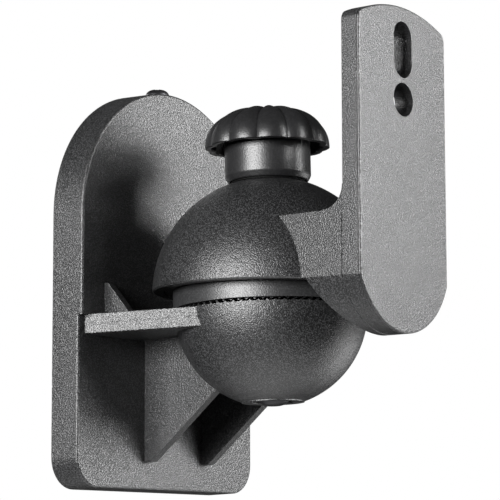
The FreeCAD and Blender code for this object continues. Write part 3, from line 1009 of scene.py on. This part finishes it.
def plate_and_arm():
    """Speaker plate and the arm behind it, with the fillet between them."""
    places = [(inset, -PLATE_FRONT + depth) for depth, inset in quarter_round(PLATE_EDGE)]
    places += [(inset, -PLATE_FRONT + depth) for inset, depth in PLATE_SIDE]
    body = stacked("plate", plate_rings(places))
    back_y = -PLATE_FRONT + PLATE_THICK
    places = [(inset, back_y + behind) for inset, behind in ARM_START] + [(0, -BALL_REACH)]
    arm = stacked("arm", plate_rings(places))
    combine(arm, "INTERSECT", slab("below the arm's top", -FAR, ARM_TOP))
    combine(body, "UNION", edged(arm, ARM_EDGE, 60.0))
    corner = arc(back_y + ARM_FILLET, ARM_TOP + ARM_FILLET, ARM_FILLET, 180, 270, 20)
    corner += [
        (back_y + ARM_FILLET, ARM_TOP - ARM_SUNK),
        (back_y - ARM_SUNK, ARM_TOP - ARM_SUNK),
        (back_y - ARM_SUNK, ARM_TOP + ARM_FILLET),
    ]
    half = PLATE_WIDTH / 2 - ARM_FILLET_INSET
    return combine(body, "UNION", prism_x("arm fillet", corner, -half, half))


def add_dome(body):
    """Dome on the arm, hollowed with its throat after the arm has been joined."""
    rim = DOME_RIM - PIVOT.z
    start = at_height(rim, DOME_RADIUS) + DOME_RIM_TURN
    section = [(0, rim), (DOME_RADIUS - DOME_RIM_EDGE, rim)]
    section += arc(0, 0, DOME_RADIUS, start, 90, 72)
    combine(body, "UNION", moved(turned("dome", section, 240, closed=False), *PIVOT))
    wide = THROAT_RADIUS + THROAT_FLARE * THROAT_DEPTH
    low = DOME_RIM - THROAT_DEPTH
    cone = [(0, low), (wide, low), (THROAT_RADIUS, DOME_RIM), (0, DOME_RIM)]
    throat = moved(turned("throat", cone, 240, closed=False), 0, PIVOT.y, 0)
    combine(body, "DIFFERENCE", moved(sphere("dome room", DOME_INNER, 96, 192), *PIVOT), throat)
    path = slot_outline(-BOLT_SLOT_FRONT, BOLT_SLOT_REAR, BOLT_SLOT_HALF, 16)
    combine(body, "DIFFERENCE", moved(prism_z("bolt slot", path, *BOLT_SLOT_LEVELS), *PIVOT))


class BRACKET_OT_dome_arm(Operator):
    """Dome, arm and speaker plate, one moulding"""

    bl_idname = "bracket.dome_arm"
    bl_label = "Dome, arm and plate"

    def execute(self, context):
        body = plate_and_arm()
        add_dome(body)
        # Speaker screw hole and slot
        hole = along_y(
            peg("hole", HOLE_RADIUS, -PLATE_CUT, PLATE_CUT), 0, -PLATE_FRONT, HOLE_LEVEL,
        )
        shape = slot_outline(SLOT_LOW, SLOT_HIGH, SLOT_HALF, 24)
        slot = prism_y("screw slot", shape, -PLATE_FRONT - PLATE_CUT, -PLATE_FRONT + PLATE_CUT)
        combine(body, "DIFFERENCE", hole, slot)
        complete(body, "dome_arm_moulding", "graphite plastic", "graphite_plastic", "arm", "dome_arm")
        return {"FINISHED"}


class BRACKET_OT_saddle(Operator):
    """Saddle between the dome and the knob"""

    bl_idname = "bracket.saddle"
    bl_label = "Pressure saddle"

    def execute(self, context):
        edge = at_distance(SADDLE_RADIUS, SADDLE_SEAT)
        bore = at_distance(BOLT_BORE, SADDLE_SEAT)
        section = arc(0, PIVOT_LEVEL, SADDLE_SEAT, bore, edge, 16)
        section += [(SADDLE_RADIUS, SADDLE_TOP), (BOLT_BORE, SADDLE_TOP)]
        saddle = lean(turned("saddle", section, 128))
        complete(
            saddle, "saddle_turned", "saddle plastic in painted shade", "knob_plastic",
            "saddle", "pressure_saddle",
        )
        return {"FINISHED"}


def cap_outline(steps):
    """Outline of the knob's cap from the rim nearly to the middle, with its normals."""
    points = []
    for i in range(steps):
        a = math.radians(KNOB_CROWN) * i / (steps - 1)
        reach = KNOB_RADIUS * math.cos(a) ** (2 / KNOB_FLANK)
        points.append(Vector((reach, RIM_LEVEL + KNOB_HEIGHT * math.sin(a) ** (2 / KNOB_SHOULDER))))
    outline = []
    for i, here in enumerate(points):
        along = points[min(i + 1, steps - 1)] - points[max(i - 1, 0)]
        outline.append((here, Vector((along.y, -along.x)).normalized()))
    return outline


def lobe(count, columns=24):
    """One sector of the cap: inside of the skirt, rim and outer face, open at its two sides."""
    outer = cap_outline(40)
    inner = [(here - Vector((KNOB_SKIRT, 0)), out) for here, out in outer if here.y < KNOB_CEILING]
    sideways = outer[0][1]
    rim = [
        (inner[0][0] + Vector((RIM_ROUND[0], -RIM_DROP)), sideways),
        (outer[0][0] + Vector((-RIM_ROUND[1], -RIM_DROP)), sideways),
    ]
    section = list(reversed(inner)) + rim + outer
    points = []
    for k in range(columns + 1):
        share = k / columns
        a = 2 * math.pi / count * share
        dip = KNOB_GROOVE * (1 - abs(math.sin(math.pi * share)) ** KNOB_GROOVE_SHARPNESS)
        for here, out in section:
            fade = min(here.x / KNOB_GROOVE_FADE, 1.0) ** KNOB_GROOVE_FADING
            place = here - out * dip * fade
            points.append((place.x * math.cos(a), place.x * math.sin(a), place.y))
    faces = []
    rows = len(section)
    for k in range(columns):
        for i in range(rows - 1):
            a = k * rows + i
            faces.append((a, a + 1, a + rows + 1, a + rows))
    return mesh_of("lobe", points, faces)


class BRACKET_OT_knob(Operator):
    """Lobed knob with its open skirt and collar"""

    bl_idname = "bracket.knob"
    bl_label = "Knob"

    def execute(self, context):
        count = context.scene.bracket_sizes.lobe_count
        first = math.radians(KNOB_FIRST_GROOVE)
        cap = ring_of("cap", lobe(count), count, first, KNOB_WELD, "knob plastic")
        work = bmesh.new()
        work.from_mesh(cap.data)
        bmesh.ops.edgeloop_fill(work, edges=[e for e in work.edges if e.is_boundary])
        bmesh.ops.recalc_face_normals(work, faces=work.faces)
        work.to_mesh(cap.data)
        work.free()
        collar = turned("collar", softened([
            (0, COLLAR_LOW),
            (COLLAR_RADIUS - COLLAR_CHAMFER[0], COLLAR_LOW, "round"),
            (COLLAR_RADIUS, COLLAR_LOW + COLLAR_CHAMFER[1], "round"),
            (COLLAR_RADIUS, COLLAR_TOP),
            (0, COLLAR_TOP),
        ], COLLAR_EDGE), 128, closed=False)
        combine(cap, "UNION", collar)
        recess = peg("saddle recess", COLLAR_RECESS, COLLAR_LOW - PAST, COLLAR_CEILING)
        bore = peg("bolt bore", KNOB_BORE, COLLAR_CEILING - PAST, KNOB_BORE_TOP, 48)
        combine(cap, "DIFFERENCE", recess, bore)
        complete(
            lean(cap), "knob_moulding", "knob plastic", "knob_plastic",
            "knob", "knob", angle=50.0,
        )
        return {"FINISHED"}


def towards(azimuth, elevation):
    """Unit vector from the bracket. Azimuth 0 is in front of the wall, and 90 is to its right."""
    a = math.radians(azimuth)
    e = math.radians(elevation)
    return Vector((math.sin(a) * math.cos(e), -math.cos(a) * math.cos(e), math.sin(e)))


def softbox(name, azimuth, elevation, distance, size, power):
    """Soft lamp that the camera doesn't see."""
    data = bpy.data.lights.new(name, "AREA")
    data.shape = "RECTANGLE"
    data.size, data.size_y = size
    data.energy = power
    direction = towards(azimuth, elevation)
    obj = new_object(name, data)
    obj.location = LAMP_AIM + direction * distance
    obj.rotation_euler = direction.to_track_quat("Z", "Y").to_euler()
    obj.visible_camera = False


def photo_camera():
    """Camera from which the photo was taken, as fitted to it."""
    data = bpy.data.cameras.new("camera")
    data.sensor_width = SENSOR
    data.lens = FOCAL_LENGTH / PHOTO_WIDTH * SENSOR
    data.clip_start = 0.01
    data.clip_end = 10.0
    camera = new_object("camera", data)
    camera.location = CAMERA_PLACE
    camera.rotation_mode = "QUATERNION"
    back = towards(CAMERA_AZIMUTH, CAMERA_ELEVATION)
    upright = (-back).to_track_quat("-Z", "Y").to_matrix().to_4x4()
    roll = Matrix.Rotation(-math.radians(CAMERA_ROLL), 4, "Z")
    camera.rotation_quaternion = (upright @ roll).to_quaternion()
    return camera


def pale_floor():
    half, z = FLOOR_HALF, FLOOR_LEVEL
    corners = [(-half, -half, z), (half, -half, z), (half, half, z), (-half, half, z)]
    floor = mesh_of("floor", corners, [(0, 1, 2, 3)])
    pale = Finish("pale floor").close(Base_Color=(0.85, 0.85, 0.85, 1.0), Roughness=0.8)
    floor.data.materials.append(pale)
    return floor


def white_surroundings():
    """White for the camera and through clear matter, dim for everything else."""
    world = bpy.data.worlds.new("white surroundings")
    world.use_nodes = True
    tree = world.node_tree
    tree.nodes.clear()
    rays = tree.nodes.new("ShaderNodeLightPath").outputs
    seen = Value(tree, rays["Is Camera Ray"]) + Value(tree, rays["Is Transmission Ray"])
    strength = SURROUNDINGS + seen.held() * (1 - SURROUNDINGS)
    background = tree.nodes.new("ShaderNodeBackground")
    background.inputs["Color"].default_value = (1.0, 1.0, 1.0, 1.0)
    tree.links.new(strength.socket, background.inputs["Strength"])
    tree.links.new(background.outputs[0], tree.nodes.new("ShaderNodeOutputWorld").inputs["Surface"])
    return world


class BRACKET_OT_stage(Operator):
    """Camera, soft lamps, pale floor and white surroundings"""

    bl_idname = "bracket.stage"
    bl_label = "Stage"

    def execute(self, context):
        scene = context.scene
        scene.camera = photo_camera()
        for lamp in LAMPS:
            softbox(*lamp)
        floor = pale_floor()
        scene.world = white_surroundings()
        scene.view_settings.view_transform = "Standard"
        return {"FINISHED"}


class BRACKET_PT_panel(Panel):
    """Steps that build the bracket's looks"""

    bl_label = "Speaker wall bracket"
    bl_idname = "BRACKET_PT_panel"
    bl_space_type = "VIEW_3D"
    bl_region_type = "UI"
    bl_category = "Bracket"

    def draw(self, context):
        for group in (context.scene.bracket_sizes, context.scene.bracket_colours):
            for name in group.__annotations__:
                self.layout.prop(group, name)
        for step in STEPS:
            self.layout.operator(step.bl_idname)


STEPS = (
    BRACKET_OT_base,
    BRACKET_OT_wall_parts,
    BRACKET_OT_lock_screw,
    BRACKET_OT_swivel_ball,
    BRACKET_OT_dome_arm,
    BRACKET_OT_saddle,
    BRACKET_OT_knob,
    BRACKET_OT_stage,
)
CLASSES = (BRACKET_PG_sizes, BRACKET_PG_colours) + STEPS + (BRACKET_PT_panel,)


def register():
    for cls in CLASSES:
        bpy.utils.register_class(cls)
    bpy.types.Scene.bracket_sizes = PointerProperty(type=BRACKET_PG_sizes)
    bpy.types.Scene.bracket_colours = PointerProperty(type=BRACKET_PG_colours)


def unregister():
    del bpy.types.Scene.bracket_colours
    del bpy.types.Scene.bracket_sizes
    for cls in reversed(CLASSES):
        bpy.utils.unregister_class(cls)


def main():
    register()
    bpy.ops.bracket.base()
    bpy.ops.bracket.wall_parts()
    bpy.ops.bracket.lock_screw()
    bpy.ops.bracket.swivel_ball()
    bpy.ops.bracket.dome_arm()
    bpy.ops.bracket.saddle()
    bpy.ops.bracket.knob()
    bpy.ops.bracket.stage()


if __name__ == "__main__":
    main()
